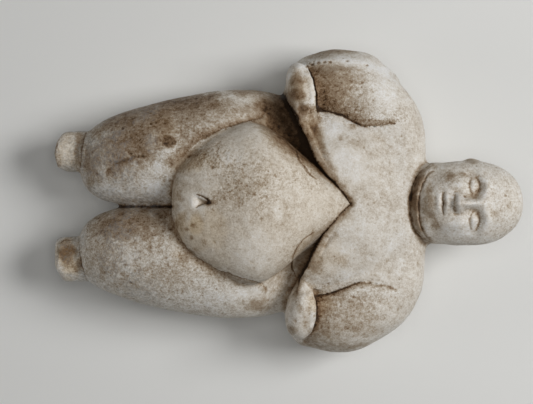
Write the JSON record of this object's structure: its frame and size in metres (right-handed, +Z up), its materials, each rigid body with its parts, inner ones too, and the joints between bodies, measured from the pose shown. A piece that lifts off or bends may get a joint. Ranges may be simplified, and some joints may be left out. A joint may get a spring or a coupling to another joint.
{
  "type": "neolithic female figurine",
  "caption": "Hand-sized marble figure of a full-bodied woman, carved in the round and laid on its back: arms bent to the breasts, heavy belly and thighs, feet broken off.",
  "frame": {"origin": "on the surface that the figure lies on, below the middle of its box", "axes": "+X towards the head, +Y towards the figure's right side, +Z up, out of its front"},
  "size_m": [0.1706, 0.111, 0.059],
  "materials": {
    "marble": "smoothed marble, weathered and stained brown in the creases"
  },
  "bodies": {
    "root": {"figurine": "marble"}
  },
  "joints": []
}
